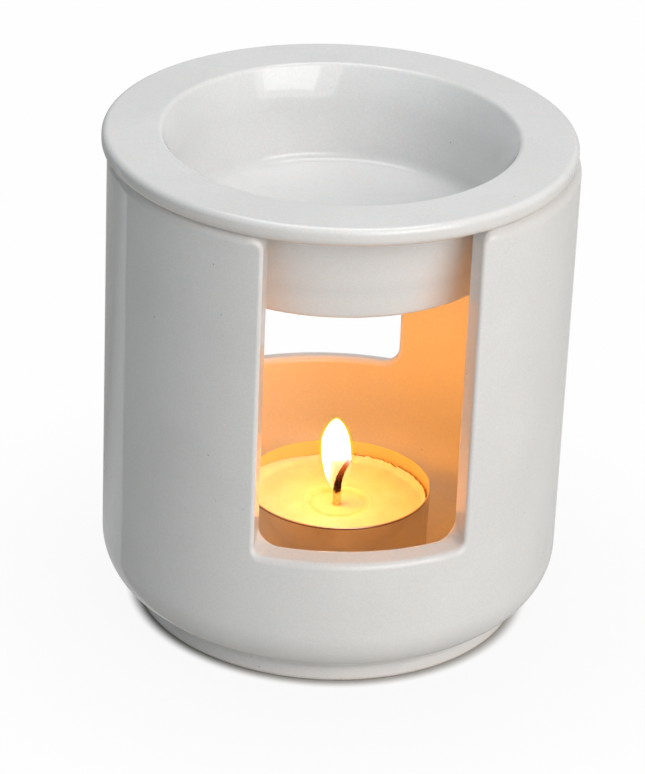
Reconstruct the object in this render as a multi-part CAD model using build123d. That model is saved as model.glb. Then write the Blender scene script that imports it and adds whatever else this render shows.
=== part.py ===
from build123d import *
import os
from math import isclose

# An essential oil burner: a slip-cast ceramic body with a slot cut through front and back,
# a lift-off oil dish that hangs in its open top, and a tealight standing on its floor.
# Millimetres, +Z up, origin at the centre of the foot's underside, front window facing -Y.

# Body
body_radius = 46.0
body_wall = 5.0
body_height = 96.8
foot_inset = 7.0
foot_ring_width = 5.0
foot_height = 3.2
foot_draft = 0.8
foot_edge_rounding = 0.8
foot_groove_rounding = 0.7
base_recess = 2.6
base_recess_rounding = 1.5
base_rounding_top = 14.0
floor_height = 7.2
floor_rounding = 12.0
window_sill = 30.6
window_corner_rounding = 3.5
window_head_rounding = 2.4
window_edge_share = 0.28
chamber_edge_share = 0.24

# Oil dish
rim_overhang = 0.2
rim_thickness = 3.9
rim_edge_share = 0.47
bowl_play = 3.0
bowl_depth = 20.4
bowl_taper = 4.7
bowl_wall = 4.2
bowl_floor = 5.2
bowl_edge_rounding = 1.2
bowl_floor_rounding = 3.0
bowl_root_rounding = 1.0
mouth_rounding = 1.5
dish_shift = 0.9

# Tealight
cup_radius = 18.9
cup_height = 16.0
cup_draft = 0.35
cup_wall = 0.3
cup_base_rounding = 1.8
window_clearance = 0.6
tealight_shift = 1.5
wax_depth = 11.3
wax_clearance = 0.1
pool_radius = 5.8
pool_depth = 0.5
pool_bank = 1.6
sustainer_radius = 6.0
sustainer_sheet = 0.4
sustainer_neck_height = 4.0
wick_radius = 0.75
wick_clearance = 0.05
wick_straight = 13.6
wick_bend_radius = 13.5
wick_bend_angle = 31.0

# How far a cutting shape runs past what it cuts
cut_overrun = 5.0

# How closely two radii agree when a wall is looked up by its radius
match_share = 1e-6

# Sizes that follow from those above
chamber_radius = body_radius - body_wall
foot_radius = body_radius - foot_inset
foot_inner_radius = foot_radius - foot_ring_width
foot_neck_radius = foot_radius - foot_draft
window_half_width = cup_radius + window_clearance
window_edge_rounding = body_wall * window_edge_share
chamber_edge_rounding = body_wall * chamber_edge_share

rim_radius = body_radius + rim_overhang
rim_top = body_height + rim_thickness
rim_edge_rounding = rim_thickness * rim_edge_share
bowl_top_radius = chamber_radius - bowl_play
bowl_bottom_radius = bowl_top_radius - bowl_taper
bowl_bottom = body_height - bowl_depth
bowl_floor_top = bowl_bottom + bowl_floor
bowl_slope = bowl_taper / bowl_depth
bowl_inner_radius = bowl_top_radius - bowl_wall
mouth_radius = bowl_inner_radius + rim_thickness * bowl_slope
bowl_floor_radius = bowl_inner_radius - (body_height - bowl_floor_top) * bowl_slope

cup_top = floor_height + cup_height
cup_floor_top = floor_height + cup_wall
cup_base_radius = cup_radius - cup_draft
cup_slope = cup_draft / cup_height
cup_inner_base_radius = cup_base_radius + cup_wall * cup_slope - cup_wall
cup_inner_rounding = cup_base_rounding - cup_wall
wax_top = cup_floor_top + wax_depth
sustainer_top = cup_floor_top + sustainer_sheet
neck_bore_radius = wick_radius + wick_clearance
neck_radius = neck_bore_radius + sustainer_sheet
neck_top = sustainer_top + sustainer_neck_height


# Sections are drawn as (radius, height) on the side of the axis that faces the front window
section_plane = Plane(origin=(0, 0, 0), x_dir=(0, -1, 0), z_dir=(-1, 0, 0))


def turned(*outline):
    return revolve(section_plane * make_face(outline), Axis.Z)


def turned_path(corners, roundings):
    # Corners run from the axis, round the section and back to the axis
    path = FilletPolyline(corners, radius=roundings)
    return turned(path, Line(path @ 1, path @ 0))


def rim_edges(shell, wall_radius):
    # The edges of the windows and the open top on one side of the wall
    round_faces = shell.faces().filter_by(GeomType.CYLINDER)
    walls = [f for f in round_faces if isclose(f.radius, wall_radius, rel_tol=match_share)]
    lowest = window_sill - window_edge_rounding
    return [e for wall in walls for e in wall.edges() if (e @ 0.5).Z > lowest]


def make_body():
    inside = FilletPolyline(
        (0, floor_height),
        (chamber_radius, floor_height),
        (chamber_radius, body_height),
        radius=floor_rounding,
    )
    seat = Line((chamber_radius, body_height), (body_radius, body_height))
    side = Line((body_radius, body_height), (body_radius, base_rounding_top))
    neck = (foot_neck_radius, foot_height)
    lower_curve = TangentArc((body_radius, base_rounding_top), neck, tangent=(0, -1))
    foot = FilletPolyline(
        neck,
        (foot_radius, 0),
        (foot_inner_radius, 0),
        (foot_inner_radius, base_recess),
        (0, base_recess),
        radius=[foot_edge_rounding, foot_edge_rounding, base_recess_rounding],
    )
    axis_line = Line((0, base_recess), (0, floor_height))
    section = make_face([inside, seat, side, lower_curve, foot, axis_line])
    groove = section.vertices().sort_by_distance((*neck, 0))[0]
    section = fillet(groove, foot_groove_rounding)
    shell = revolve(section_plane * section, Axis.Z)

    slot_top = body_height + cut_overrun
    slot = make_face(
        FilletPolyline(
            (-window_half_width, window_sill),
            (window_half_width, window_sill),
            (window_half_width, slot_top),
            (-window_half_width, slot_top),
            radius=[window_corner_rounding, window_corner_rounding, 0, 0],
            close=True,
        )
    )
    shell -= extrude(Plane.XZ * slot, amount=body_radius + cut_overrun, both=True)

    heads = shell.edges().filter_by(Axis.Y).group_by(Axis.Z)[-1]
    shell = fillet(heads, window_head_rounding)
    shell = fillet(rim_edges(shell, body_radius), window_edge_rounding)
    return fillet(rim_edges(shell, chamber_radius), chamber_edge_rounding)


def make_dish():
    corners = [
        (0, bowl_bottom),
        (bowl_bottom_radius, bowl_bottom),
        (bowl_top_radius, body_height),
        (rim_radius, body_height),
        (rim_radius, rim_top),
        (mouth_radius, rim_top),
        (bowl_floor_radius, bowl_floor_top),
        (0, bowl_floor_top),
    ]
    roundings = [
        bowl_edge_rounding,
        bowl_root_rounding,
        rim_edge_rounding,
        rim_edge_rounding,
        mouth_rounding,
        bowl_floor_rounding,
    ]
    return turned_path(corners, roundings)


def make_cup():
    corners = [
        (0, floor_height),
        (cup_base_radius, floor_height),
        (cup_radius, cup_top),
        (cup_radius - cup_wall, cup_top),
        (cup_inner_base_radius, cup_floor_top),
        (0, cup_floor_top),
    ]
    roundings = [cup_base_rounding, 0, 0, cup_inner_rounding]
    return turned_path(corners, roundings)


def make_wax():
    seat = cup_floor_top
    pool_floor = wax_top - pool_depth
    disc_space = sustainer_radius + wax_clearance
    neck_space = neck_radius + wax_clearance
    wick_space = wick_radius + wax_clearance
    above_disc = sustainer_top + wax_clearance
    above_neck = neck_top + wax_clearance
    corners = [
        (disc_space, seat),
        (cup_inner_base_radius - wax_clearance, seat),
        (cup_inner_base_radius - wax_clearance + wax_depth * cup_slope, wax_top),
        (pool_radius + pool_bank, wax_top),
        (pool_radius, pool_floor),
        (wick_space, pool_floor),
        (wick_space, above_neck),
        (neck_space, above_neck),
        (neck_space, above_disc),
        (disc_space, above_disc),
    ]
    roundings = [0, cup_inner_rounding, 0, pool_bank, pool_bank, 0, 0, 0, 0, 0]
    return turned(FilletPolyline(corners, radius=roundings, close=True))


def make_sustainer():
    corners = [
        (0, cup_floor_top),
        (sustainer_radius, cup_floor_top),
        (sustainer_radius, sustainer_top),
        (neck_radius, sustainer_top),
        (neck_radius, neck_top),
        (neck_bore_radius, neck_top),
        (neck_bore_radius, sustainer_top),
        (0, sustainer_top),
    ]
    return turned_path(corners, [0] * (len(corners) - 2))


def make_wick():
    foot = (0, sustainer_top)
    bend = (0, sustainer_top + wick_straight)
    upright = (0, 1)
    line = Line(foot, bend) + JernArc(bend, upright, wick_bend_radius, -wick_bend_angle)
    section = Plane.XY.offset(sustainer_top) * Circle(wick_radius)
    return sweep(section, Plane.XZ * line)


dish_place = Pos(-dish_shift, 0, 0)
tealight_place = Pos(tealight_shift, 0, 0)
pieces = {
    "burner_body": make_body(),
    "oil_dish": dish_place * make_dish(),
    "tealight_cup": tealight_place * make_cup(),
    "tealight_wax": tealight_place * make_wax(),
    "wick_sustainer": tealight_place * make_sustainer(),
    "tealight_wick": tealight_place * make_wick(),
}

os.makedirs("parts", exist_ok=True)
for name, solid in pieces.items():
    export_step(solid, f"parts/{name}.step")
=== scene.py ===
import math
import bpy
import numpy as np
from mathutils import Matrix, Vector, noise


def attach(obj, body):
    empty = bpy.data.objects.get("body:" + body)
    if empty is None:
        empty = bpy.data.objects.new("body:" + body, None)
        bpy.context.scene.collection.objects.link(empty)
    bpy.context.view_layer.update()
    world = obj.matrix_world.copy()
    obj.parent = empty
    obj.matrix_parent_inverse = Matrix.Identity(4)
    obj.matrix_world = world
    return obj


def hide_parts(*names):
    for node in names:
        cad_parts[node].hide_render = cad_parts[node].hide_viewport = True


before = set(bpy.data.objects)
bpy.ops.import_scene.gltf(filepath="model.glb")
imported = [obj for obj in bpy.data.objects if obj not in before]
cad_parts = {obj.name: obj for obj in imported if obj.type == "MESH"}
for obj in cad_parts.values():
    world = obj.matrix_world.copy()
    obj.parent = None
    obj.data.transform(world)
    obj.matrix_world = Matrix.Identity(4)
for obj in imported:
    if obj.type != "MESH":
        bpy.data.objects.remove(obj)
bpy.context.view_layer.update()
mm = 0.001
toMm = 1000
tiny = 1e-6


def mathsOf(operation, swapped=False):
    # a Wire's operator, or its reflected form
    def method(self, other):
        return self.calc(operation, *((other, self) if swapped else (self, other)))
    return method


class Wire:
    # one output of a node tree, shader or geometry: sums on it add Math nodes
    def __init__(self, tree, socket):
        self.tree = tree
        self.socket = socket

    def other(self, output):
        return Wire(self.tree, self.socket.node.outputs[output])

    def calc(self, operation, *values):
        settings = {"operation": operation}
        return addNode(self.tree, "ShaderNodeMath", settings, dict(enumerate(values)))

    def ease(self, low, high):
        settings = {"interpolation_type": "SMOOTHSTEP"}
        return addNode(self.tree, "ShaderNodeMapRange", settings, {"Value": self, 1: low, 2: high})

    __add__, __radd__ = mathsOf("ADD"), mathsOf("ADD", True)
    __sub__, __rsub__ = mathsOf("SUBTRACT"), mathsOf("SUBTRACT", True)
    __mul__, __rmul__ = mathsOf("MULTIPLY"), mathsOf("MULTIPLY", True)
    __truediv__, __rtruediv__ = mathsOf("DIVIDE"), mathsOf("DIVIDE", True)
    __lt__, __gt__ = mathsOf("LESS_THAN"), mathsOf("GREATER_THAN")


def addNode(tree, kind, settings=None, inputs=None, output=0):
    node = tree.nodes.new(kind)
    for name, value in (settings or {}).items():
        setattr(node, name, value)
    for key, value in (inputs or {}).items():
        if isinstance(value, Wire):
            tree.links.new(value.socket, node.inputs[key])
        else:
            node.inputs[key].default_value = value
    return Wire(tree, node.outputs[output]) if node.outputs else node


class Finish:
    # a material that ends in one Principled shader
    def __init__(self, name):
        self.material = bpy.data.materials.new(name)
        self.material.use_nodes = True
        self.tree = self.material.node_tree
        self.tree.nodes.clear()

    def node(self, kind, settings=None, inputs=None, output=0):
        return addNode(self.tree, kind, settings, inputs, output)

    def mark(self, name):
        # a value that the mesh carries at each of its points
        return self.node("ShaderNodeAttribute", {"attribute_name": name}, output="Fac")

    def place(self, stretch=(1, 1, 1), shift=(0, 0, 0)):
        at = self.node("ShaderNodeTexCoord", output="Object")
        return self.node("ShaderNodeMapping", inputs={
            "Vector": at, "Scale": stretch, "Location": shift})

    def height(self):
        at = self.node("ShaderNodeTexCoord", output="Object")
        return self.node("ShaderNodeSeparateXYZ", inputs={"Vector": at}, output="Z")

    def mottle(self, at, scale, detail=2.0, roughness=0.5):
        return self.node("ShaderNodeTexNoise", inputs={
            "Vector": at, "Scale": scale, "Detail": detail, "Roughness": roughness})

    def flecks(self, at, scale, size, share, core=0.55):
        # round dots: size in cells, share of the cells that carry one, core the full part of a dot
        cell = self.node("ShaderNodeTexVoronoi", inputs={"Vector": at, "Scale": scale})
        pick = self.node("ShaderNodeSeparateColor", inputs={"Color": cell.other("Color")})
        return (1 - cell.ease(size * core, size)) * (pick < share)

    def blend(self, factor, first, second, how="MIX"):
        return self.node("ShaderNodeMix", {"data_type": "RGBA", "blend_type": how},
                         {0: factor, 6: first, 7: second}, output=2)

    def done(self, s, swell=None, **sockets):
        if swell is not None:
            sockets["Normal"] = self.node("ShaderNodeBump", inputs={
                "Height": swell, "Distance": s["bumpDepth"], "Strength": s["bumpStrength"]})
        shader = self.node("ShaderNodeBsdfPrincipled", inputs={
            name.replace("_", " "): value for name, value in sockets.items()})
        self.node("ShaderNodeOutputMaterial", inputs={"Surface": shader})
        return self.material


def rgb(red, green, blue):
    return (red, green, blue, 1.0)


# White glaze over pale clay

glaze = dict(
    light=rgb(0.865, 0.852, 0.846), shade=rgb(0.825, 0.812, 0.806),
    warm=rgb(0.87, 0.825, 0.795), cool=rgb(0.81, 0.84, 0.85), grainShade=rgb(0.93, 0.93, 0.93),
    paintedCandleGlow=rgb(0.98, 0.93, 0.80), bowl=rgb(0.945, 0.95, 0.955), thin=rgb(0.79, 0.71, 0.66),
    fleck=rgb(0.20, 0.17, 0.15), clay=rgb(0.66, 0.60, 0.52), paleClay=rgb(0.72, 0.67, 0.60),
    cloudScale=42, curdScale=520, curdShift=(0.4, 0.2, 0.1), curdTint=0.40,
    grainScale=2300, grainTint=0.6,
    ironScale=620, ironSize=0.11, ironShare=0.014, ironTint=0.75, ironSink=0.05,
    pitScale=700, pitSize=0.10, pitShare=0.05, pitShift=(0.31, 0.17, 0.23), pitSink=0.30,
    peelScale=150, peelSwell=0.55, finePeelScale=620, finePeelSwell=0.10,
    bareFoot=0.0003, bareSwell=0.5, gloss=0.04, glossDrift=0.04,
    dullPits=0.2, dullFoot=0.6, dullInside=0.27, ior=1.48, bumpDepth=0.00016, bumpStrength=0.40,
)


def glazeFinish(s):
    f = Finish("whiteGlaze")
    at = f.place()
    cloud = f.mottle(at, s["cloudScale"], 3)
    curd = f.mottle(f.place(shift=s["curdShift"]), s["curdScale"], 3, 0.6)
    grain = f.mottle(at, s["grainScale"], 2)
    tint = f.blend(cloud.ease(0.35, 0.68), s["shade"], s["light"])
    tint = f.blend(curd.ease(0.50, 0.72) * s["curdTint"], tint, s["warm"])
    tint = f.blend(curd.ease(0.48, 0.28) * s["curdTint"], tint, s["cool"])
    tint = f.blend(grain.ease(0.34, 0.66) * s["grainTint"], tint, s["grainShade"], "MULTIPLY")
    inside = f.mark("chamber")
    # painted candle glow: a warm tint over the glaze inside the chamber, as if lit orange by the
    # flame
    tint = f.blend(inside, tint, s["paintedCandleGlow"], "MULTIPLY")
    # painted shade: the glaze inside the dish's bowl is darkened a little
    tint = f.blend(f.mark("paintedBowlShade"), tint, s["bowl"], "MULTIPLY")
    tint = f.blend(f.mark("thinGlaze") * (curd * 0.5 + 0.25), tint, s["thin"])
    iron = f.flecks(f.place(), s["ironScale"], s["ironSize"], s["ironShare"])
    tint = f.blend(iron * s["ironTint"], tint, s["fleck"])
    bare = 1 - f.height().ease(s["bareFoot"] * 0.6, s["bareFoot"])
    tint = f.blend(bare, tint, f.blend(grain.ease(0.3, 0.7), s["clay"], s["paleClay"]))
    pits = f.flecks(f.place(shift=s["pitShift"]), s["pitScale"], s["pitSize"], s["pitShare"])
    peel = f.mottle(at, s["peelScale"], 1) * s["peelSwell"]
    peel = peel + f.mottle(at, s["finePeelScale"], 1) * s["finePeelSwell"]
    swell = peel - pits * s["pitSink"] - iron * s["ironSink"] + bare * grain * s["bareSwell"]
    rough = cloud * s["glossDrift"] + s["gloss"] + pits * s["dullPits"] + bare * s["dullFoot"]
    rough = rough + inside * s["dullInside"]
    return f.done(s, swell, Base_Color=tint, Roughness=rough, IOR=s["ior"])


glazeMaterial = glazeFinish(glaze)
print("glaze ready")


def showMesh(name, points, faces, material, normals=None, marks=None):
    mesh = bpy.data.meshes.new(name)
    mesh.from_pydata([tuple(p) for p in np.asarray(points) * mm], [], faces)
    for title, values in (marks or {}).items():
        layer = mesh.attributes.new(title, "FLOAT", "POINT")
        layer.data.foreach_set("value", np.asarray(values, np.float32))
    mesh.materials.append(material)
    mesh.polygons.foreach_set("use_smooth", [True] * len(mesh.polygons))
    mesh.update()
    if normals is not None:
        mesh.normals_split_custom_set_from_vertices([tuple(n) for n in normals])
    obj = bpy.data.objects.new(name, mesh)
    bpy.context.scene.collection.objects.link(obj)
    return obj


def roundedPath(corners, roundings, turn=9.0, run=3.0, guard=0.3):
    # a line through the corners, an arc at each rounded one, and points close to each arc's ends
    corners = [np.array(c, float) for c in corners]
    stops = [[corners[0]]]
    for before, corner, after, radius in zip(corners, corners[1:], corners[2:], roundings):
        into = (corner - before) / np.linalg.norm(corner - before)
        away = (after - corner) / np.linalg.norm(after - corner)
        angle = math.acos(max(-1, min(1, float(into @ away))))
        if radius == 0 or angle < tiny:
            stops.append([corner])
            continue
        reach = radius * math.tan(angle / 2)
        start = corner - into * reach
        side = np.array([-into[1], into[0]])
        if side @ away < 0:
            side = -side
        centre = start + side * radius
        count = max(2, math.ceil(math.degrees(angle) / turn))
        arc = []
        for step in range(count + 1):
            a = angle * step / count
            arc.append(centre - side * radius * math.cos(a) + into * radius * math.sin(a))
        stops.append(arc)
    stops.append([corners[-1]])
    path = []
    for here, there in zip(stops, stops[1:]):
        path += here
        gap = there[0] - here[-1]
        length = np.linalg.norm(gap)
        if length > 3 * guard:
            inner = length - 2 * guard
            count = max(1, math.ceil(inner / run))
            for k in range(count + 1):
                path.append(here[-1] + gap * (guard + inner * k / count) / length)
    path += stops[-1]
    path = np.array(path)
    apart = np.linalg.norm(np.diff(path, axis=0), axis=1) > tiny
    return path[np.concatenate([[True], apart])]


# Body: one wall with its two windows, all of it smooth from face to face

wall = dict(
    outer=46.0, thick=5.0, top=96.8, curveTop=14.0, floor=7.2, floorRound=12.0,
    sill=31.1, sillFall=8.0, halfWindow=19.15, splay=13.0, outerCorner=1.9, innerCorner=3.6,
    head=2.4, sillEdge=1.5, topEdge=2.1, outerEdge=0.7, innerEdge=1.3,
    foot=39.0, footDraft=0.8, footHeight=3.9, footRing=5.0, footEdge=0.8, groove=1.9,
    recess=2.6, recessRound=1.5, thinFoot=2.4, thinEdge=0.12, thinTop=0.65, thinTopReach=4.5,
    sillSteps=12, cornerSteps=8, jambSteps=22, headSteps=8, topSteps=26, edgeSteps=7, faceSteps=3,
    sideSteps=14, sideCrowd=1.6, curveSteps=24, grooveSteps=8, within=0.01,
)


def windowEdge(s, width, sill, corner):
    # half of a window's outline as (sideways, height), and at each point the way out of the clay
    head = s["head"]
    points = [(x, sill) for x in np.linspace(0, width - corner, s["sillSteps"] + 1)]
    ways = [(0, 1)] * len(points)
    for a in np.radians(np.linspace(-90, 0, s["cornerSteps"] + 1)[1:]):
        points.append((width - corner + corner * math.cos(a), sill + corner + corner * math.sin(a)))
        ways.append((-math.cos(a), -math.sin(a)))
    for z in np.linspace(sill + corner, s["top"] - head, s["jambSteps"] + 1)[1:]:
        points.append((width, z))
        ways.append((-1, 0))
    for a in np.radians(np.linspace(180, 90, s["headSteps"] + 1)[1:]):
        points.append((width + head + head * math.cos(a), s["top"] - head + head * math.sin(a)))
        ways.append((math.cos(a), math.sin(a)))
    return np.array(points), np.array(ways, float)


def edgeCentres(s, low, upright, high, facing, width, sill, corner):
    # balls that round the edge, from mid sill to the middle of the pillar's top:
    # their centres, the ways out of the cut, their radii
    points, ways = windowEdge(s, width, sill, corner)
    halfway = s["top"] / 2
    ends = np.where(points[:, 1] < halfway, low, high)
    radius = upright + (ends - upright) * ways[:, 1] ** 2
    ring = (s["outer"] if facing > 0 else s["outer"] - s["thick"]) - facing * radius
    side, height = (points - radius[:, None] * ways).T
    centres = np.stack([side, -np.sqrt(ring ** 2 - side ** 2), height], 1)
    out = np.stack([ways[:, 0], 0 * side, ways[:, 1]], 1)
    start = math.atan2(centres[-1, 1], centres[-1, 0])
    angles = np.linspace(start, 0, s["topSteps"] + 1)[1:]
    level = np.full(len(angles), s["top"] - high)
    over = np.stack([ring[-1] * np.cos(angles), ring[-1] * np.sin(angles), level], 1)
    up = np.tile([0.0, 0.0, 1.0], (len(angles), 1))
    centres, out = np.vstack([centres, over]), np.vstack([out, up])
    fall = np.where(centres[:, 2] < halfway, np.clip(out[:, 2], 0, 1), 0)
    lean = np.abs(out[:, 0]) * math.tan(math.radians(s["splay"]))
    lean = lean + fall * math.tan(math.radians(s["sillFall"]))
    out = out + lean[:, None] * radialOf(centres)
    radius = np.concatenate([radius, np.full(len(angles), high)])[:, None]
    return centres, out / np.linalg.norm(out, axis=1)[:, None], radius


def swing(first, second, share):
    # unit vectors part of the way round from first to second
    angle = np.arccos(np.clip((first * second).sum(1), -1, 1))[:, None]
    return (np.sin((1 - share) * angle) * first + np.sin(share * angle) * second) / np.sin(angle)


def radialOf(points):
    flat = points * [1, 1, 0]
    return flat / np.linalg.norm(flat, axis=1)[:, None]


def edgeBand(s):
    # outer rounding, flat of the cut, inner rounding, and how thin the glaze is on each line
    spread = s["thick"] * math.tan(math.radians(s["splay"]))
    drop = s["thick"] * math.tan(math.radians(s["sillFall"]))
    outC, out, outR = edgeCentres(
        s, s["sillEdge"], s["outerEdge"], s["topEdge"], 1,
        s["halfWindow"] + spread, s["sill"] - drop, s["outerCorner"])
    inner = s["innerEdge"]
    inC, _, inR = edgeCentres(
        s, inner, inner, inner, -1, s["halfWindow"], s["sill"], s["innerCorner"])
    places, normals, thin = [], [], []

    def addRounding(centres, radii, start, end):
        for share in np.linspace(0, 1, s["edgeSteps"] + 1):
            way = swing(start, end, share)
            places.append(centres + radii * way)
            normals.append(way)
            thin.append(math.sin(math.pi * share))

    addRounding(outC, outR, radialOf(outC), out)
    first, last = places[-1], inC + inR * out
    for share in np.linspace(0, 1, s["faceSteps"] + 1)[1:-1]:
        places.append(first + share * (last - first))
        normals.append(out)
        thin.append(0)
    addRounding(inC, inR, out, -radialOf(inC))
    return np.array(places), np.array(normals), np.array(thin)


def sideSheets(s, border, radius, start, facing):
    # the round wall under one quarter of the band: below the sill, and up the pillar
    angle, height = np.arctan2(border[:, 1], border[:, 0]), border[:, 2]
    low = s["sillSteps"] + s["cornerSteps"] // 2
    high = s["sillSteps"] + s["cornerSteps"] + s["jambSteps"] + s["headSteps"] // 2
    topAngle, topHeight = angle[high:], height[high:]
    footAngle = angle[low] * topAngle / topAngle[0]
    columns = np.concatenate([angle[:low + 1], footAngle[1:]])
    tops = np.concatenate([height[:low + 1], np.full(len(footAngle) - 1, height[low])])
    rise = 1 - (1 - np.linspace(0, 1, s["sideSteps"] + 1)) ** s["sideCrowd"]
    heights = start + rise[:, None] * (tops - start)
    lower = np.stack(np.broadcast_arrays(columns[None, :], heights), -1)
    u = 1 - footAngle / footAngle[0]
    v = (height[low:high + 1] - height[low]) / (height[high] - height[low])
    base = np.stack([footAngle, np.full(len(u), height[low])], 1)
    head = np.stack([topAngle, topHeight], 1)
    jamb = np.stack([angle[low:high + 1], height[low:high + 1]], 1)
    middle = np.stack([0 * v, height[low] + v * (height[-1] - height[low])], 1)
    u, v = u[None, :, None], v[:, None, None]
    jamb, middle = jamb[:, None], middle[:, None]
    pillar = (1 - v) * base[None] + v * head[None] + (1 - u) * jamb + u * middle
    firstEnds = (1 - v) * base[0] + v * head[0]
    lastEnds = (1 - v) * base[-1] + v * head[-1]
    pillar -= (1 - u) * firstEnds + u * lastEnds
    sheets = []
    for grid in (lower, pillar):
        a, z = grid[..., 0], grid[..., 1]
        way = np.stack([np.cos(a), np.sin(a), 0 * a], -1)
        places = way * [radius, radius, 0] + np.stack([0 * z, 0 * z, z], -1)
        sheets.append((places, facing * way))
    return sheets, columns


def ringSheet(profile, columns, facing):
    # a line of (radius, height), carried round one quarter, with smooth normals across the line
    along = np.gradient(profile, axis=0)
    along /= np.linalg.norm(along, axis=1)[:, None]
    across = facing * np.stack([-along[:, 1], along[:, 0]], 1)
    a = columns[None, :]
    r, z = profile[:, :1], profile[:, 1:]
    out, up = across[:, :1], across[:, 1:]
    places = np.stack(np.broadcast_arrays(r * np.cos(a), r * np.sin(a), z), -1)
    normals = np.stack(np.broadcast_arrays(out * np.cos(a), out * np.sin(a), up), -1)
    return places, normals


def onCircle(centre, radius, angle):
    return centre + radius * np.array([math.cos(angle), math.sin(angle)])


def underProfile(s):
    # from the side down the lower curve, round the groove and the foot ring, to mid base
    neck = np.array([s["foot"] - s["footDraft"], s["footHeight"]])
    drop = s["curveTop"] - neck[1]
    inset = s["outer"] - neck[0]
    sweep = (inset ** 2 + drop ** 2) / (2 * inset)
    centre = np.array([s["outer"] - sweep, s["curveTop"]])
    down = np.array([s["footDraft"], -s["footHeight"]])
    down = down / math.hypot(s["footDraft"], s["footHeight"])
    out = np.array([-down[1], down[0]])
    offset = neck + s["groove"] * out - centre
    b, c = float(offset @ down), float(offset @ offset) - (sweep + s["groove"]) ** 2
    ball = offset + down * (-b + math.sqrt(b * b - c)) + centre
    stop = math.atan2(*(ball - centre)[::-1])
    curve = [onCircle(centre, sweep, t) for t in np.linspace(0, stop, s["curveSteps"] + 1)]
    first = math.atan2(*(centre - ball)[::-1])
    last = math.atan2(*(-out)[::-1])
    way = (last - first + math.pi) % (2 * math.pi) - math.pi
    for k in np.linspace(0, 1, s["grooveSteps"] + 1)[1:]:
        curve.append(onCircle(ball, s["groove"], first + way * k))
    inner = s["foot"] - s["footRing"]
    foot = roundedPath(
        [curve[-1], (s["foot"], 0), (inner, 0), (inner, s["recess"]), (0, s["recess"])],
        [s["footEdge"], s["footEdge"], s["recessRound"]], run=6)
    return np.vstack([curve, foot[1:]])


def makeBody(s):
    inner = s["outer"] - s["thick"]
    floorTop = s["floor"] + s["floorRound"]
    band, bandNormals, bandThin = edgeBand(s)
    sheets = [(band, bandNormals)]
    outside, columns = sideSheets(s, band[0], s["outer"], s["curveTop"], 1)
    inside, innerColumns = sideSheets(s, band[-1], inner, floorTop, -1)
    sheets += outside + inside
    floorLine = roundedPath(
        [(inner, floorTop), (inner, s["floor"]), (0, s["floor"])], [s["floorRound"]], turn=6, run=5)
    sheets.append(ringSheet(underProfile(s), columns, 1))
    sheets.append(ringSheet(floorLine, innerColumns, -1))
    points, normals, faces, thins, insides = [], [], [], [], []
    count = 0
    for places, ways in sheets:
        rows, cols = places.shape[:2]
        thin = np.exp(-(places[..., 2] / s["thinFoot"]) ** 2)
        if places is band:
            nearTop = places[..., 2] > s["top"] - s["thinTopReach"]
            thin += np.where(nearTop, s["thinTop"], s["thinEdge"]) * bandThin[:, None]
        chamber = np.linalg.norm(places[..., :2], axis=-1) < inner + s["within"]
        chamber &= places[..., 2] > s["floor"] - s["within"]
        index = np.arange(rows * cols).reshape(rows, cols)
        quads = np.stack([index[:-1, :-1], index[:-1, 1:], index[1:, 1:], index[1:, :-1]], -1)
        quads = quads.reshape(-1, 4)
        for mirror in ((1, 1, 1), (-1, 1, 1), (1, -1, 1), (-1, -1, 1)):
            p, n = places.reshape(-1, 3) * mirror, ways.reshape(-1, 3) * mirror
            corners = p[quads]
            face = np.cross(corners[:, 2] - corners[:, 0], corners[:, 3] - corners[:, 1])
            turned = (face * n[quads].mean(1)).sum(1) < 0
            faces.append(np.where(turned[:, None], quads[:, ::-1], quads) + count)
            points.append(p)
            normals.append(n)
            thins.append(thin.reshape(-1))
            insides.append(chamber.reshape(-1))
            count += len(p)
    points, normals, faces = np.vstack(points), np.vstack(normals), np.vstack(faces)
    # points that share a place become one
    rounded = np.round(points, 4)
    _, keep, same = np.unique(rounded, axis=0, return_index=True, return_inverse=True)
    faces = same.reshape(-1)[faces]
    clean = []
    for face in faces.tolist():
        loop = [v for k, v in enumerate(face) if v != face[k - 1]]
        if len(loop) > 2:
            clean.append(loop)
    marks = {"thinGlaze": np.concatenate(thins)[keep], "chamber": np.concatenate(insides)[keep]}
    obj = showMesh("burnerBody", points[keep], clean, glazeMaterial, normals[keep], marks)
    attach(obj, "body")
    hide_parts("burner_body")
    return obj


bodyPiece = makeBody(wall)
print("body", len(bodyPiece.data.polygons), "faces")


# Geometry Nodes: a tree is given a line of points and hands back a form

def newTree(name, result, inputs):
    tree = bpy.data.node_groups.new(name, "GeometryNodeTree")
    tree.interface.new_socket(name=result, in_out="OUTPUT", socket_type="NodeSocketGeometry")
    for title, kind in inputs.items():
        tree.interface.new_socket(name=title, in_out="INPUT", socket_type="NodeSocket" + kind)
    return tree, addNode(tree, "NodeGroupInput")


def endTree(tree, form, finish):
    form = addNode(tree, "GeometryNodeSetShadeSmooth", inputs={"Geometry": form})
    form = addNode(tree, "GeometryNodeRealizeInstances", inputs={"Geometry": form})
    form = addNode(tree, "GeometryNodeSetMaterial", inputs={"Geometry": form, "Material": finish})
    addNode(tree, "NodeGroupOutput", inputs={0: form})
    return tree


def runTree(name, tree, points, values):
    # hands a line of points to a tree and keeps what comes out as a plain mesh
    mesh = bpy.data.meshes.new(name)
    edges = [(k, k + 1) for k in range(len(points) - 1)]
    mesh.from_pydata([tuple(p) for p in points], edges, [])
    obj = bpy.data.objects.new(name, mesh)
    bpy.context.scene.collection.objects.link(obj)
    live = obj.modifiers.new(tree.name, "NODES")
    live.node_group = tree
    for socket in tree.interface.items_tree:
        if socket.name in values:
            live[socket.identifier] = values[socket.name]
    bpy.context.view_layer.update()
    made = obj.evaluated_get(bpy.context.evaluated_depsgraph_get())
    obj.data = bpy.data.meshes.new_from_object(made)
    obj.modifiers.clear()
    obj.data.name = name
    bpy.data.meshes.remove(mesh)
    return obj


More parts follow.
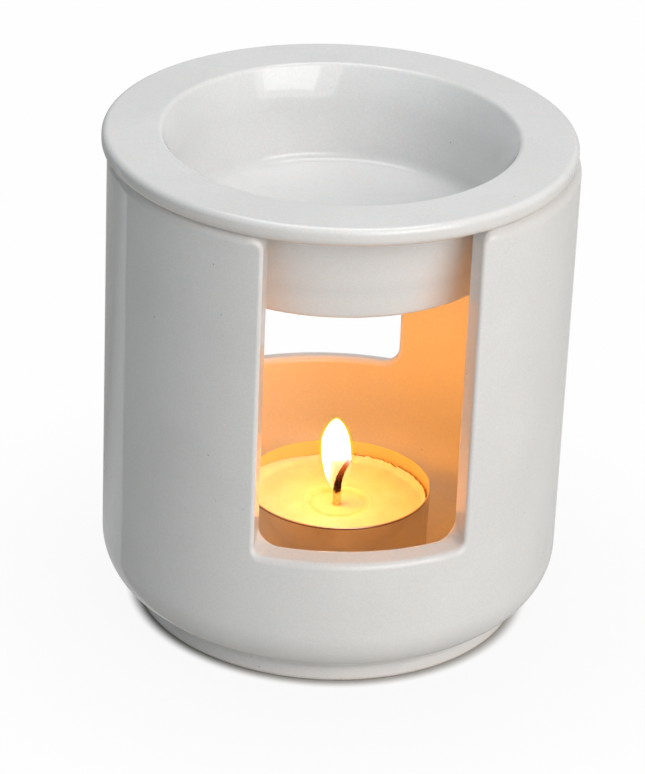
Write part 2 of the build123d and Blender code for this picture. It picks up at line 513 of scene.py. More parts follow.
def latheTree():
    # turns a line of (radius, 0, height) points into a round form, a little uneven
    tree, given = newTree("turnedForm", "Form", {
        "Line": "Geometry", "Steps": "Int", "Centre": "Vector", "Unevenness": "Float",
        "Unevenness Size": "Float", "Seed": "Float", "Finish": "Material"})
    line = given.other("Line")
    count = addNode(tree, "GeometryNodeAttributeDomainSize", inputs={"Geometry": line})
    sheet = addNode(tree, "GeometryNodeMeshGrid", inputs={
        "Size X": 1.0, "Size Y": 1.0, "Vertices X": count, "Vertices Y": given.other("Steps") + 1})
    at = addNode(tree, "GeometryNodeInputPosition")
    spot = addNode(tree, "ShaderNodeSeparateXYZ", inputs={"Vector": at})
    row = (spot + 0.5) * (count - 1) + 0.5
    angle = (spot.other("Y") + 0.5) * (2 * math.pi)
    picked = addNode(tree, "GeometryNodeSampleIndex", {"data_type": "FLOAT_VECTOR"}, {
        "Geometry": line, "Value": at, "Index": row})
    section = addNode(tree, "ShaderNodeSeparateXYZ", inputs={"Vector": picked})
    turned = addNode(tree, "ShaderNodeCombineXYZ", inputs={
        "X": section * angle.calc("COSINE", angle), "Y": section * angle.calc("SINE", angle),
        "Z": section.other("Z")})
    form = addNode(tree, "GeometryNodeSetPosition", inputs={"Geometry": sheet, "Position": turned})
    form = addNode(tree, "GeometryNodeMergeByDistance", inputs={"Geometry": form, "Distance": tiny})
    swell = addNode(tree, "ShaderNodeTexNoise", {"noise_dimensions": "4D"}, {
        "Vector": at, "W": given.other("Seed"),
        "Scale": 1.0 / given.other("Unevenness Size"), "Detail": 1.0})
    push = addNode(tree, "ShaderNodeVectorMath", {"operation": "SCALE"}, {
        0: addNode(tree, "GeometryNodeInputNormal"),
        "Scale": (swell - 0.5) * given.other("Unevenness")})
    form = addNode(tree, "GeometryNodeSetPosition", inputs={"Geometry": form, "Offset": push})
    form = addNode(tree, "GeometryNodeFlipFaces", inputs={"Mesh": form})
    form = addNode(tree, "GeometryNodeTransform", inputs={
        "Geometry": form, "Translation": given.other("Centre")})
    return endTree(tree, form, given.other("Finish"))


turnedForm = latheTree()


def turn(name, line, finish, s, x):
    # a round form from a line, with a piece's own steps and unevenness, set off sideways by x
    points = [(r * mm, 0, z * mm) for r, z in line]
    return runTree(name, turnedForm, points, {
        "Steps": s["steps"], "Centre": (x * mm, 0.0, 0.0), "Unevenness": s["uneven"] * mm,
        "Unevenness Size": s["unevenSize"] * mm, "Seed": s["seed"], "Finish": finish})


# Oil dish: hanging bowl, wide rim, a mouth that opens a little at the top

dish = dict(
    seat=96.8, rim=46.2, rimThick=3.9, rimTopEdge=1.3, rimLowEdge=1.83, root=38.0, rootRound=1.0,
    bottom=76.4, bottomRadius=33.3, bottomRound=1.2, mouth=34.9, mouthEdge=1.0, mouthLean=28.0,
    mouthRun=1.7, mouthPull=2.2, flareRadius=31.9, flareDepth=8.0,
    floor=81.6, floorRadius=30.3, floorRound=2.2, shift=-0.9,
    steps=200, uneven=0.06, unevenSize=26.0, seed=3.0,
    thinReach=1.6, thinBowl=0.3, thinRimIn=0.5, thinRimUp=0.6, hangSkin=1.5,
    bowlFrom=0.5, bowlTo=0.6,
)


def bend(start, way, end, arrive, pull, steps=16):
    # a smooth curve that leaves start one way and comes to end another way
    leaving = np.add(start, np.multiply(way, pull))
    coming = np.subtract(end, np.multiply(arrive, pull))
    p = np.array([start, leaving, coming, end])
    t = np.linspace(0, 1, steps + 1)[:, None]
    ends = (1 - t) ** 3 * p[0] + 3 * t * (1 - t) ** 2 * p[1]
    return ends + 3 * t * t * (1 - t) * p[2] + t ** 3 * p[3]


def makeDish(s):
    top = s["seat"] + s["rimThick"]
    lean = math.radians(s["mouthLean"])
    inward = np.array([-math.sin(lean), -math.cos(lean)])
    edge = np.array([s["mouth"], top]) + s["mouthRun"] * inward
    outside = roundedPath([
        (0, s["bottom"]), (s["bottomRadius"], s["bottom"]), (s["root"], s["seat"]),
        (s["rim"], s["seat"]), (s["rim"], top), (s["mouth"], top), edge],
        [s["bottomRound"], s["rootRound"], s["rimLowEdge"], s["rimTopEdge"], s["mouthEdge"]],
        turn=7)
    flare = np.array([s["flareRadius"], top - s["flareDepth"]])
    corner = np.array([s["floorRadius"], s["floor"]])
    inside = roundedPath([flare, corner, (0, s["floor"])], [s["floorRound"]], turn=7)
    down = corner - flare
    mouth = bend(edge, inward, flare, down / np.linalg.norm(down), s["mouthPull"])
    line = np.vstack([outside, mouth[1:-1], inside])
    obj = turn("oilDish", line, glazeMaterial, s, s["shift"])
    rimSpot = np.array([s["rim"] - s["thinRimIn"], s["seat"] + s["thinRimUp"]])
    bottomSpot = np.array([s["bottomRadius"], s["bottom"]])
    names = ("thinGlaze", "paintedBowlShade")
    for name in names:
        obj.data.attributes.new(name, "FLOAT", "POINT")
    thins, bowls = (obj.data.attributes[name].data for name in names)
    for vertex, thin, bowl in zip(obj.data.vertices, thins, bowls):
        x, y, z = (c / mm for c in vertex.co)
        at = np.array([math.hypot(x - s["shift"], y), z])
        near = min(float(np.linalg.norm(at - spot)) for spot in (rimSpot, bottomSpot))
        rise = (s["root"] - s["bottomRadius"]) * (z - s["bottom"]) / (s["seat"] - s["bottom"])
        hangs = z < s["seat"] and at[0] > s["bottomRadius"] + rise - s["hangSkin"]
        thin.value = max(s["thinBowl"] if hangs else 0, math.exp(-(near / s["thinReach"]) ** 2))
        # the points inside the bowl, where painted shade darkens the glaze
        inBowl = s["floor"] - s["bowlFrom"] < z < top - s["bowlTo"] and at[0] < s["mouth"]
        bowl.value = 1.0 if inBowl else 0.0
    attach(obj, "dish")
    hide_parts("oil_dish")
    return obj


dishPiece = makeDish(dish)
print("dish", len(dishPiece.data.polygons), "faces")


# Tealight cup: thin drawn aluminium

cup = dict(
    base=7.2, height=16.0, radius=18.9, draft=0.35, wall=0.3, baseRound=1.8, lipRound=0.13,
    centre=1.5, steps=180, uneven=0.05, unevenSize=9.0, seed=11.0, filmDepth=0.7,
    metal=rgb(0.73, 0.66, 0.58), dull=rgb(0.63, 0.55, 0.47), filmed=rgb(0.62, 0.50, 0.25),
    lipShadow=rgb(0.27, 0.15, 0.13), lineStart=(0.08, 0.14), lineEnd=(0.48, 0.40),
    drawnStretch=(2400, 2400, 55), dentScale=210, smearScale=130, smearShift=(0.2, 0.1, 0),
    gloss=0.12, smearDull=0.14, drawnDull=0.10, filmDull=0.2, filmCover=0.75,
    drawnSwell=0.10, dentSwell=0.9, bumpDepth=0.00022, bumpStrength=0.6,
)


def aluminiumFinish(s):
    f = Finish("drawnAluminium")
    drawn = f.mottle(f.place(stretch=s["drawnStretch"]), 1.0, 3)
    dents = f.mottle(f.place(), s["dentScale"], 1)
    smear = f.mottle(f.place(shift=s["smearShift"]), s["smearScale"], 3, 0.6)
    # the aluminium's warm tones are partly painted reflection of the orange-lit chamber, partly its
    # own dull tone
    tint = f.blend(smear.ease(0.35, 0.7), s["metal"], s["dull"])
    film = f.mark("waxFilm")
    tint = f.blend(film, tint, s["filmed"])
    # painted shade: a dark line just under the lip on the outside, for the shadow of the rolled
    # edge
    below = s["base"] + s["height"] - f.height() * toMm
    line = below.ease(*s["lineStart"]) * below.ease(*s["lineEnd"]) * (1 - film)
    tint = f.blend(line, tint, s["lipShadow"])
    rough = smear * s["smearDull"] + drawn * s["drawnDull"] + s["gloss"] + film * s["filmDull"]
    swell = drawn * s["drawnSwell"] + dents * s["dentSwell"]
    metal = 1 - film * s["filmCover"]
    return f.done(s, swell, Base_Color=tint, Metallic=metal, Roughness=rough)


def makeCup(s):
    top = s["base"] + s["height"]
    low = s["radius"] - s["draft"]
    line = roundedPath([
        (0, s["base"]), (low, s["base"]), (s["radius"], top), (s["radius"] - s["wall"], top),
        (low - s["wall"], s["base"] + s["wall"]), (0, s["base"] + s["wall"])],
        [s["baseRound"], s["lipRound"], s["lipRound"], s["baseRound"] - s["wall"]],
        turn=15, guard=0.12)
    obj = turn("tealightCup", line, aluminiumFinish(s), s, s["centre"])
    layer = obj.data.attributes.new("waxFilm", "FLOAT", "POINT")
    for vertex, mark in zip(obj.data.vertices, layer.data):
        reach = math.hypot(vertex.co.x / mm - s["centre"], vertex.co.y / mm)
        outer = low + s["draft"] * (vertex.co.z / mm - s["base"]) / s["height"]
        mark.value = 1.0 if outer - reach > s["filmDepth"] * s["wall"] else 0.0
    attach(obj, "tealight")
    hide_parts("tealight_cup")
    return obj


cupPiece = makeCup(cup)
print("cup", len(cupPiece.data.polygons), "faces")


# Wax: cream, melted round the wick, a film up the cup on one side and a broken edge on the other

wax = dict(
    level=18.8, seat=7.6, centre=1.5, cupRadius=18.43, columns=240, seed=4.0,
    pool=5.7, poolDepth=0.55, poolWave=0.06, collar=((0.86, 0), (1.1, 0.22), (1.5, 0.06), (2.4, 0)),
    bank=1.5, bankSteps=13, crest=0.16, crestAt=0.86, crestWide=0.13,
    shelf=16.6, shelfSteps=15, shelfWave=0.05, climbSteps=11, climbWave=0.04,
    filmTop=21.6, filmWay=30, filmMean=0.55, filmSwing=0.6, filmLeast=0.1, filmWave=0.25,
    filmCurve=3.0, splitTop=20.3, splitWay=42, splitFrom=0.50, splitFade=0.15, splitCurve=5.0,
    jags=((0.45, 7, 2), (0.35, 22, 3), (0.25, 60, 4)),  # size, ripple's scale and lift
    lipGap=0.06, lipSplit=0.42, lipRagged=0.3, crackAt=0.35, crackLift=0.03,
    edgeGap=0.02, edgeDrop=0.04, sideDrop=0.35,
    sides=((0.10, 14.0), (0.22, 9.4), (0.8, 7.9), (1.7, 7.6)),  # inset and height, to the seat
    holderSpace=((6.15, 7.6), (6.15, 8.05), (1.35, 8.05), (1.35, 12.1)),  # radius and height
    cream=rgb(0.85, 0.73, 0.58), pale=rgb(0.89, 0.80, 0.68), deep=rgb(0.85, 0.72, 0.53),
    rim=rgb(0.80, 0.50, 0.16), crack=rgb(0.30, 0.13, 0.03), bloomScale=260, poolTint=0.45,
    dull=0.34, bloomDull=0.16, gloss=0.07, pitScale=900, pitSwell=0.25,
    dentScale=190, dentSwell=0.6, bumpDepth=0.00018, bumpStrength=0.6,
    ior=1.44, glow=0.55, glowColour=(1.0, 0.55, 0.22), glowDepth=0.0035,
)


def waxFinish(s):
    f = Finish("candleWax")
    at = f.place()
    pool = f.mark("pool")
    bloom = f.mottle(at, s["bloomScale"], 4, 0.6)
    tint = f.blend(bloom.ease(0.3, 0.72), s["cream"], s["pale"])
    tint = f.blend(pool * s["poolTint"], tint, s["deep"])
    tint = f.blend(pool * (1 - pool) * (bloom.ease(0.36, 0.62) * 1.7 + 0.3), tint, s["rim"])
    # painted shade: a dark brown line in the crack behind the broken lip
    tint = f.blend(f.mark("crackShade"), tint, s["crack"])
    rough = (1 - pool) * s["dull"] + bloom * s["bloomDull"] * (1 - pool) + s["gloss"]
    pitted = f.mottle(at, s["pitScale"], 2) * s["pitSwell"]
    pitted = pitted + f.mottle(at, s["dentScale"], 2) * s["dentSwell"]
    return f.done(s, pitted * (1 - pool), Base_Color=tint, Roughness=rough, IOR=s["ior"],
                  Subsurface_Weight=s["glow"], Subsurface_Radius=s["glowColour"],
                  Subsurface_Scale=s["glowDepth"])


def makeWax(s):
    turns = np.linspace(0, 2 * math.pi, s["columns"], endpoint=False)

    def ripple(scale, lift):
        return np.array([
            noise.noise(Vector((math.cos(a) * scale, math.sin(a) * scale, s["seed"] + lift)))
            for a in turns])

    def towards(degrees):
        return np.cos(np.radians(np.degrees(turns) - degrees))

    # broken is 1 at the right and back, where the film has split
    broken = np.clip((towards(s["splitWay"]) - s["splitFrom"]) / s["splitFade"], 0, 1)
    film = np.clip(s["filmMean"] - s["filmSwing"] * towards(s["filmWay"]), s["filmLeast"], 1)
    jag = sum(size * ripple(scale, lift) for size, scale, lift in s["jags"])
    smooth = film * (s["filmTop"] - s["level"]) + s["filmWave"] * ripple(3, 1) * film
    filmTop = s["level"] + broken * (s["splitTop"] - s["level"] + jag) + (1 - broken) * smooth
    lip = s["cupRadius"] - s["lipGap"] - broken * (s["lipSplit"] + s["lipRagged"] * ripple(30, 5))
    rows, pools, cracks = [], [], []

    def row(radius, height, pool=0.0, crack=0.0):
        rows.append((np.broadcast_to(radius, turns.shape), np.broadcast_to(height, turns.shape)))
        pools.append(np.broadcast_to(pool, turns.shape))
        cracks.append(np.broadcast_to(crack, turns.shape))

    # up the wick's hole, over the pool and its bank, out to the cup
    floor = s["level"] - s["poolDepth"]
    edge = s["pool"] * (1 + s["poolWave"] * ripple(1.6, 7))
    row(s["collar"][0][0], s["seat"], 1.0)
    for radius, lift in s["collar"]:
        row(radius, floor + lift, 1.0)
    for share in np.linspace(0, 1, s["bankSteps"] + 1):
        reach = edge - s["bank"] + share * 2 * s["bank"]
        rise = share * share * (3 - 2 * share)
        crest = s["crest"] * math.exp(-((share - s["crestAt"]) / s["crestWide"]) ** 2)
        row(reach, floor + rise * s["poolDepth"] + crest, 1 - rise)
    for share in np.linspace(0, 1, s["shelfSteps"] + 1)[1:]:
        reach = edge + s["bank"] + share * (s["shelf"] - edge - s["bank"])
        wave = s["shelfWave"] * ripple(2.2 + 3 * share, 9 + share) * share
        row(reach, s["level"] + wave)
    climb = lip - s["shelf"]
    for share in np.linspace(0, 1, s["climbSteps"] + 1)[1:]:
        curve = share ** s["filmCurve"] * (1 - broken) + share ** s["splitCurve"] * broken
        lift = (filmTop - s["level"]) * curve
        row(s["shelf"] + climb * share, s["level"] + lift + s["climbWave"] * ripple(12, 20) * share)
    # the lip, the crack behind it, then down the cup and back under to the wick's holder
    last = rows[-1][1]
    # the crack rows carry painted shade where the film has split
    row(lip + s["crackAt"] * (s["cupRadius"] - lip), last + s["crackLift"], crack=broken)
    row(s["cupRadius"] - s["edgeGap"], last - s["edgeDrop"], crack=broken)
    row(s["cupRadius"], last - s["sideDrop"])
    for inset, height in s["sides"]:
        row(s["cupRadius"] - inset, height)
    for radius, height in s["holderSpace"]:
        row(radius, height)
    radius, height = np.array([r for r, _ in rows]), np.array([z for _, z in rows])
    x, y = radius * np.cos(turns) + s["centre"], radius * np.sin(turns)
    places = np.stack([x, y, height], -1)
    count, wide = radius.shape
    faces = []
    for i in range(count):
        for j in range(wide):
            k, m = (i + 1) % count, (j + 1) % wide
            faces.append((i * wide + j, k * wide + j, k * wide + m, i * wide + m))
    marks = {"pool": np.array(pools).reshape(-1), "crackShade": np.array(cracks).reshape(-1)}
    obj = showMesh("tealightWax", places.reshape(-1, 3), faces, waxFinish(s), marks=marks)
    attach(obj, "tealight")
    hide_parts("tealight_wax")
    return obj


waxPiece = makeWax(wax)
print("wax", len(waxPiece.data.polygons), "faces")


# Wick: plaited cotton, burnt above the wax

def plaitTree():
    tree, given = newTree("plaitedWick", "Plait", {
        "Line": "Geometry", "Strands": "Int", "Strand Radius": "Float", "Spread": "Float",
        "Turns": "Float", "Burnt From": "Float", "Tip": "Float", "Finish": "Material"})
    path = addNode(tree, "GeometryNodeMeshToCurve", inputs={"Mesh": given.other("Line")})
    path = addNode(tree, "GeometryNodeResampleCurve", inputs={"Curve": path, "Count": 90})
    strands = addNode(tree, "GeometryNodeDuplicateElements", {"domain": "SPLINE"},
                      {"Geometry": path, "Amount": given.other("Strands")})
    number = strands.other("Duplicate Index")
    along = addNode(tree, "GeometryNodeSplineParameter")
    way = number.calc("MODULO", number, 2) * 2 - 1  # every other strand turns the other way
    angle = number * (2 * math.pi) / given.other("Strands")
    angle = angle + way * along * given.other("Turns") * (2 * math.pi)
    thin = 1 - along.ease(given.other("Burnt From"), 1.0) * (1 - given.other("Tip"))
    side = addNode(tree, "GeometryNodeInputNormal")
    cross = addNode(tree, "ShaderNodeVectorMath", {"operation": "CROSS_PRODUCT"},
                    {0: addNode(tree, "GeometryNodeInputTangent"), 1: side})
    reach = given.other("Spread") * thin
    first = addNode(tree, "ShaderNodeVectorMath", {"operation": "SCALE"},
                    {0: side, "Scale": angle.calc("COSINE", angle) * reach})
    second = addNode(tree, "ShaderNodeVectorMath", {"operation": "SCALE"},
                     {0: cross, "Scale": angle.calc("SINE", angle) * reach})
    shift = addNode(tree, "ShaderNodeVectorMath", {"operation": "ADD"}, {0: first, 1: second})
    form = addNode(tree, "GeometryNodeSetPosition", inputs={"Geometry": strands, "Offset": shift})
    form = addNode(tree, "GeometryNodeSetCurveRadius", inputs={"Curve": form, "Radius": thin})
    ring = addNode(tree, "GeometryNodeCurvePrimitiveCircle", inputs={
        "Resolution": 10, "Radius": given.other("Strand Radius")})
    form = addNode(tree, "GeometryNodeCurveToMesh", inputs={
        "Curve": form, "Profile Curve": ring, "Fill Caps": True})
    return endTree(tree, form, given.other("Finish"))


wick = dict(
    foot=7.95, straight=13.6, bendRadius=10.8, bendAngle=39.0, centre=1.5, lineSteps=15,
    strands=6, strandRadius=0.36, spread=0.48, turns=5.0, burntFrom=0.62, tip=0.28,
    cotton=rgb(0.82, 0.62, 0.16), paleCotton=rgb(0.90, 0.76, 0.28),
    char=rgb(0.010, 0.004, 0.003), singed=rgb(0.060, 0.018, 0.008), ember=rgb(0.75, 0.13, 0.008),
    charFrom=(20.8, 21.6), emberFrom=(23.6, 28.8), edgeScale=1400, edgeWander=1.6,
    fibreStretch=(3000, 3000, 500), bumpDepth=0.0001, bumpStrength=0.7,
)


def wickFinish(s):
    f = Finish("burntCotton")
    level = f.height() * toMm + (f.mottle(f.place(), s["edgeScale"], 2) - 0.5) * s["edgeWander"]
    fibre = f.mottle(f.place(stretch=s["fibreStretch"]), 1.0, 2)
    cotton = f.blend(fibre, s["cotton"], s["paleCotton"])
    charred = f.blend(fibre.ease(0.4, 0.65), s["char"], s["singed"])
    tint = f.blend(level.ease(*s["charFrom"]), cotton, charred)
    heat = f.blend(level.ease(*s["emberFrom"]), rgb(0, 0, 0), s["ember"])
    return f.done(s, fibre, Base_Color=tint, Roughness=0.9, Specular_IOR_Level=0.1,
                  Emission_Color=heat, Emission_Strength=1.0)


def makeWick(s):
    x, bendAt = s["centre"], s["foot"] + s["straight"]
    line = [(x, 0, z) for z in np.linspace(s["foot"], bendAt, s["lineSteps"] + 1)[:-1]]
    for a in np.radians(np.linspace(0, s["bendAngle"], s["lineSteps"] + 1)):
        across, up = s["bendRadius"] * (1 - math.cos(a)), s["bendRadius"] * math.sin(a)
        line.append((x + across, 0, bendAt + up))
    points = [tuple(c * mm for c in p) for p in line]
    obj = runTree("tealightWick", plaitTree(), points, {
        "Strands": s["strands"], "Strand Radius": s["strandRadius"] * mm,
        "Spread": s["spread"] * mm, "Turns": s["turns"], "Burnt From": s["burntFrom"],
        "Tip": s["tip"], "Finish": wickFinish(s)})
    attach(obj, "tealight")
    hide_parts("tealight_wick")
    return obj


wickPiece = makeWick(wick)
print("wick", len(wickPiece.data.polygons), "faces")


# Tin disc under the wax that holds the wick

tin = dict(
    dark=rgb(0.62, 0.60, 0.57), bright=rgb(0.70, 0.69, 0.67), rollStretch=(400, 3000, 400),
    gloss=0.25, rollDull=0.15, bumpDepth=0.0001, bumpStrength=0.4,
)


def tinFinish(s):
    f = Finish("tinplate")
    roll = f.mottle(f.place(stretch=s["rollStretch"]), 1.0, 3)
    tint = f.blend(roll, s["dark"], s["bright"])
    rough = roll * s["rollDull"] + s["gloss"]
    return f.done(s, roll, Base_Color=tint, Metallic=1.0, Roughness=rough)


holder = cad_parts["wick_sustainer"]
holder.data.materials.clear()
holder.data.materials.append(tinFinish(tin))


# Flame: a white core inside a yellow skin, open in front of the wick and clear low down

flame = dict(
    foot=20.4, middle=31.0, top=37.8, wide=2.95, topPower=0.68, footPower=3.3,
    footX=1.62, topX=0.75, leanFrom=22.0, leanTo=34.0,
    coverHeights=(20.4, 22.0, 23.5, 25.0, 26.5, 28.0, 29.5, 31.0, 32.5),
    left=(0, 0.010, 0.04, 0.15, 0.50, 1, 1, 1, 1),
    right=(0, 0.002, 0.004, 0.006, 0.008, 0.012, 0.25, 1, 1),
    back=(0, 0.002, 0.008, 0.020, 0.045, 0.20, 0.9, 1, 1),
    front=(0, 0, 0, 0, 0, 0, 0, 0.1, 1),
    skins=((0.0, 1.0), (0.38, 0.70), (0.80, 0.22)),  # growth and cover
    skinGain=2.0, skinPower=0.6, skinMiddle=0.35, sideSharpness=4, rounds=48, rows=56,
    core=rgb(1.0, 0.96, 0.82), skin=rgb(0.11, 0.075, 0.003), strength=9.0,
)


def flameFinish(s):
    f = Finish("flameGlow")
    cover, heart = f.mark("flameCover"), f.mark("flameHeart")
    return f.done(s, Base_Color=rgb(0, 0, 0), Roughness=1.0, Specular_IOR_Level=0.0, Alpha=cover,
                  Emission_Color=f.blend(heart, s["skin"], s["core"]),
                  Emission_Strength=s["strength"])


def flameLine(s, z):
    # radius and sideways place of the flame at a height
    if z > s["middle"]:
        up = (z - s["middle"]) / (s["top"] - s["middle"])
        radius = s["wide"] * max(0, 1 - up ** 2) ** s["topPower"]
    else:
        down = (s["middle"] - z) / (s["middle"] - s["foot"])
        radius = s["wide"] * (1 - down ** s["footPower"])
    lean = min(1, max(0, (z - s["leanFrom"]) / (s["leanTo"] - s["leanFrom"])))
    lean = lean * lean * (3 - 2 * lean)
    return radius, s["footX"] + lean * (s["topX"] - s["footX"])


def makeFlame(s):
    points, faces, covers, hearts = [], [], [], []
    for grow, most in s["skins"]:
        rings = []
        for share in 0.5 - 0.5 * np.cos(np.linspace(0, math.pi, s["rows"])):
            rounds = s["rounds"] if 0 < share < 1 else 1  # one point at each end
            rings.append(range(len(points), len(points) + rounds))
            z = s["foot"] + share * (s["top"] - s["foot"])
            radius, x = flameLine(s, z)
            radius += grow * math.sin(math.pi * share) ** s["skinPower"]
            left, right, back, front = (
                float(np.interp(z, s["coverHeights"], s[side]))
                for side in ("left", "right", "back", "front"))
            for a in np.linspace(0, 2 * math.pi, rounds, endpoint=False):
                c, d = math.cos(a), math.sin(a)
                points.append((x + radius * c, radius * d, z + grow * (share - s["skinMiddle"])))
                side = c ** s["sideSharpness"]
                cover = side * (right if c > 0 else left) + (1 - side) * (back if d > 0 else front)
                covers.append(cover if grow == 0 else most * min(1, s["skinGain"] * cover))
                hearts.append(1.0 if grow == 0 else 0.0)
        for low, high in zip(rings, rings[1:]):
            for j in range(s["rounds"]):
                k = (j + 1) % s["rounds"]
                loop = (low[j % len(low)], low[k % len(low)],
                        high[k % len(high)], high[j % len(high)])
                faces.append(list(dict.fromkeys(loop)))
    marks = {"flameCover": covers, "flameHeart": hearts}
    obj = showMesh("candleFlame", points, faces, flameFinish(s), marks=marks)
    obj.visible_shadow = False
    obj.visible_diffuse = False
    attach(obj, "tealight")
    return obj


flamePiece = makeFlame(flame)
print("flame", len(flamePiece.data.polygons), "faces")


# Studio: camera as in the picture, pale floor, big soft lamps

studio = dict(
    turned=8.4, tilt=27.034, roll=2.435, away=719.9, aimX=-2.378, aimZ=44.94,
    focal=3597.0, pictureTall=774.0, sensor=36.0, nearest=0.01, farthest=20.0,
    ambient=0.155, sky=rgb(0.85, 0.97, 1.0), paper=rgb(0.515, 0.495, 0.47), mirror=0.40,
    floorSize=4.0, floorNear=0.93, floorFar=0.985, floorFade=(0.04, 0.10), contactShadow=(0.0385, 0.0415),
    darkSide=0.95, darkLift=0.7, darkFrom=(-41, -20), darkWay=128, darkLine=0.001, darkFade=0.045,
    darkLeft=(-0.02, 0.08), white=rgb(1, 1, 1),
)


def fromView(x, y, z):
    # studio places are given with the camera straight in front, then turned to the window
    a = math.radians(studio["turned"])
    return Vector((x * math.cos(a) + y * math.sin(a), -x * math.sin(a) + y * math.cos(a), z))


def makeCamera(s):
    tilt, roll = math.radians(s["tilt"]), math.radians(s["roll"])
    back = Vector((0, -math.cos(tilt), math.sin(tilt)))
    side, up = Vector((1, 0, 0)), back.cross(Vector((1, 0, 0)))
    right = side * math.cos(roll) + up * math.sin(roll)
    top = up * math.cos(roll) - side * math.sin(roll)
    place = Vector((s["aimX"], 0, s["aimZ"])) + back * s["away"]
    axes = Matrix([fromView(*v) for v in (right, top, back)]).transposed().to_4x4()
    data = bpy.data.cameras.new("camera")
    data.sensor_width = s["sensor"]
    data.lens = s["focal"] * s["sensor"] / s["pictureTall"]
    data.clip_start, data.clip_end = s["nearest"], s["farthest"]
    camera = bpy.data.objects.new("camera", data)
    camera.matrix_world = Matrix.Translation(fromView(*(place * mm))) @ axes
    bpy.context.scene.collection.objects.link(camera)
    bpy.context.scene.camera = camera


def seenDirectly(tree, mirror):
    # full white to the camera and through glass, fainter in what mirrors it
    path = addNode(tree, "ShaderNodeLightPath")
    seen = path.calc("MAXIMUM", path.other("Is Camera Ray"), path.other("Is Transmission Ray"))
    return path.calc("MAXIMUM", seen, path.other("Is Glossy Ray") * mirror)


def makeFloor(s):
    mesh = bpy.data.meshes.new("floor")
    corners = [(x * s["floorSize"], y * s["floorSize"], 0)
               for x, y in ((-1, -1), (1, -1), (1, 1), (-1, 1))]
    mesh.from_pydata(corners, [], [(0, 1, 2, 3)])
    floor = bpy.data.objects.new("floor", mesh)
    bpy.context.scene.collection.objects.link(floor)
    material = bpy.data.materials.new("paleFloor")
    material.use_nodes = True
    tree = material.node_tree
    tree.nodes.clear()
    paper = addNode(tree, "ShaderNodeBsdfDiffuse", inputs={"Color": s["paper"]})
    white = addNode(tree, "ShaderNodeEmission", inputs={"Color": s["white"], "Strength": 1.0})
    at = addNode(tree, "ShaderNodeTexCoord", output="Object")
    away = addNode(tree, "ShaderNodeVectorMath", {"operation": "LENGTH"}, {0: at}, output="Value")
    # painted shade round the object: the floor is a little less white near it
    share = away.ease(*s["floorFade"]) * (s["floorFar"] - s["floorNear"]) + s["floorNear"]
    # the glaze mirrors a darker floor at the left, with one sharp edge
    spot = addNode(tree, "ShaderNodeSeparateXYZ", inputs={"Vector": at})
    start, left = fromView(*s["darkFrom"], 0), fromView(-1, 0, 0)
    way = math.radians(s["darkWay"])
    ahead = fromView(math.cos(way), -math.sin(way), 0)
    front = (spot - start.x * mm) * ahead.x + (spot.other("Y") - start.y * mm) * ahead.y
    dark = front.ease(-s["darkLine"], s["darkLine"]) + front.ease(0, -s["darkFade"])
    dark = dark * (1 + s["darkLift"]) - s["darkLift"]
    dark = dark * (spot * left.x + spot.other("Y") * left.y).ease(*s["darkLeft"])
    mirror = s["mirror"] * (1 - dark * s["darkSide"])
    # painted contact shadow: the white is gone in a thin ring round the foot, leaving the grey
    # paper with its real shadow
    share = share * away.ease(*s["contactShadow"]) * seenDirectly(tree, mirror)
    both = addNode(tree, "ShaderNodeMixShader", inputs={0: share, 1: paper, 2: white})
    addNode(tree, "ShaderNodeOutputMaterial", inputs={"Surface": both})
    mesh.materials.append(material)


def makeWorld(s):
    world = bpy.data.worlds.new("studio")
    bpy.context.scene.world = world
    world.use_nodes = True
    tree = world.node_tree
    tree.nodes.clear()
    soft, white = (
        addNode(tree, "ShaderNodeBackground", inputs={"Color": colour, "Strength": strength})
        for colour, strength in ((s["sky"], s["ambient"]), (s["white"], 1.0)))
    seen = seenDirectly(tree, s["mirror"])
    both = addNode(tree, "ShaderNodeMixShader", inputs={0: seen, 1: soft, 2: white})
    addNode(tree, "ShaderNodeOutputWorld", inputs={"Surface": both})


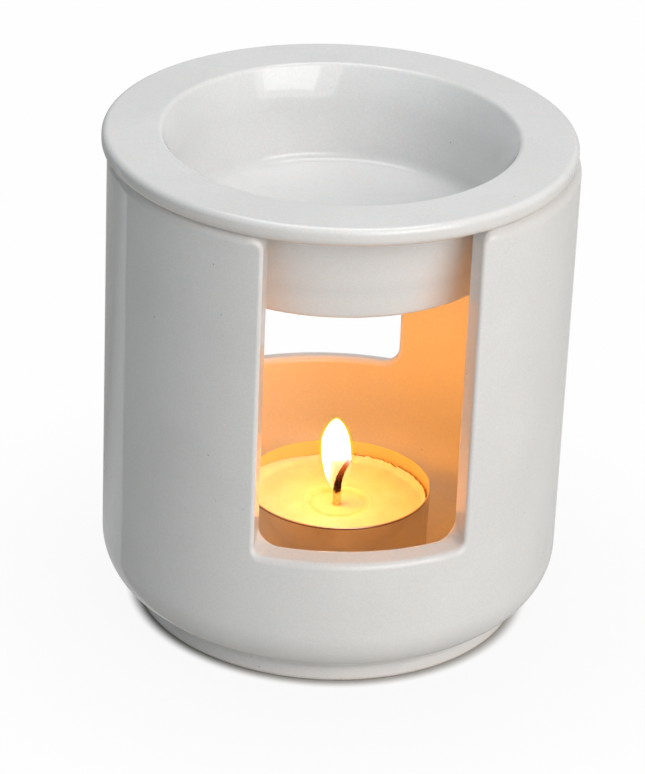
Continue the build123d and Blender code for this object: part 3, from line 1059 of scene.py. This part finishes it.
# azimuth to the right of the camera and height above level in degrees, away in mm, sizes in m
warm, plain, cool = (1.0, 0.985, 0.96), (1.0, 1.0, 1.0), (0.56, 0.82, 1.0)
lamps = dict(
    keyBox=dict(azimuth=37, height=30, away=800, wide=0.48, tall=0.34, watts=1.5, colour=warm),
    sideBox=dict(azimuth=33, height=25, away=1000, wide=1.0, tall=1.0, watts=5.4, colour=warm),
    topBox=dict(azimuth=-165, height=82, away=900, wide=0.66, tall=0.48, watts=3.5, colour=plain),
    backBox=dict(azimuth=180, height=9, away=900, wide=0.8, tall=0.4, watts=3.4, colour=plain),
    fillBox=dict(azimuth=-48, height=15, away=1000, wide=0.6, tall=0.6, watts=0.5, colour=cool),
)
unmirrored = ("backBox",)
lampAim = (0, 0, 50)
candle = dict(watts=0.033, colour=(1.0, 0.36, 0.02), radius=3.0, place=(0.9, 0, 36.0))


def addLamp(name, kind, s):
    data = bpy.data.lights.new(name, kind)
    data.energy = s["watts"]
    data.color = s["colour"]
    lamp = bpy.data.objects.new(name, data)
    bpy.context.scene.collection.objects.link(lamp)
    return lamp


def softBox(name, s):
    a, e = math.radians(s["azimuth"]), math.radians(s["height"])
    way = Vector((math.sin(a) * math.cos(e), -math.cos(a) * math.cos(e), math.sin(e)))
    lamp = addLamp(name, "AREA", s)
    lamp.data.shape = "RECTANGLE"
    lamp.data.size, lamp.data.size_y = s["wide"], s["tall"]
    lamp.location = fromView(*((Vector(lampAim) + way * s["away"]) * mm))
    lamp.rotation_euler = fromView(*way).to_track_quat("Z", "Y").to_euler()
    lamp.visible_glossy = name not in unmirrored


def candleLight(s):
    lamp = addLamp("candleLight", "POINT", s)
    lamp.data.shadow_soft_size = s["radius"] * mm
    lamp.location = Vector(s["place"]) * mm
    lamp.visible_glossy = False
    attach(lamp, "tealight")


makeCamera(studio)
makeFloor(studio)
makeWorld(studio)
for name, lamp in lamps.items():
    softBox(name, lamp)
candleLight(candle)
bpy.context.scene.view_settings.view_transform = "Standard"
print("studio ready")
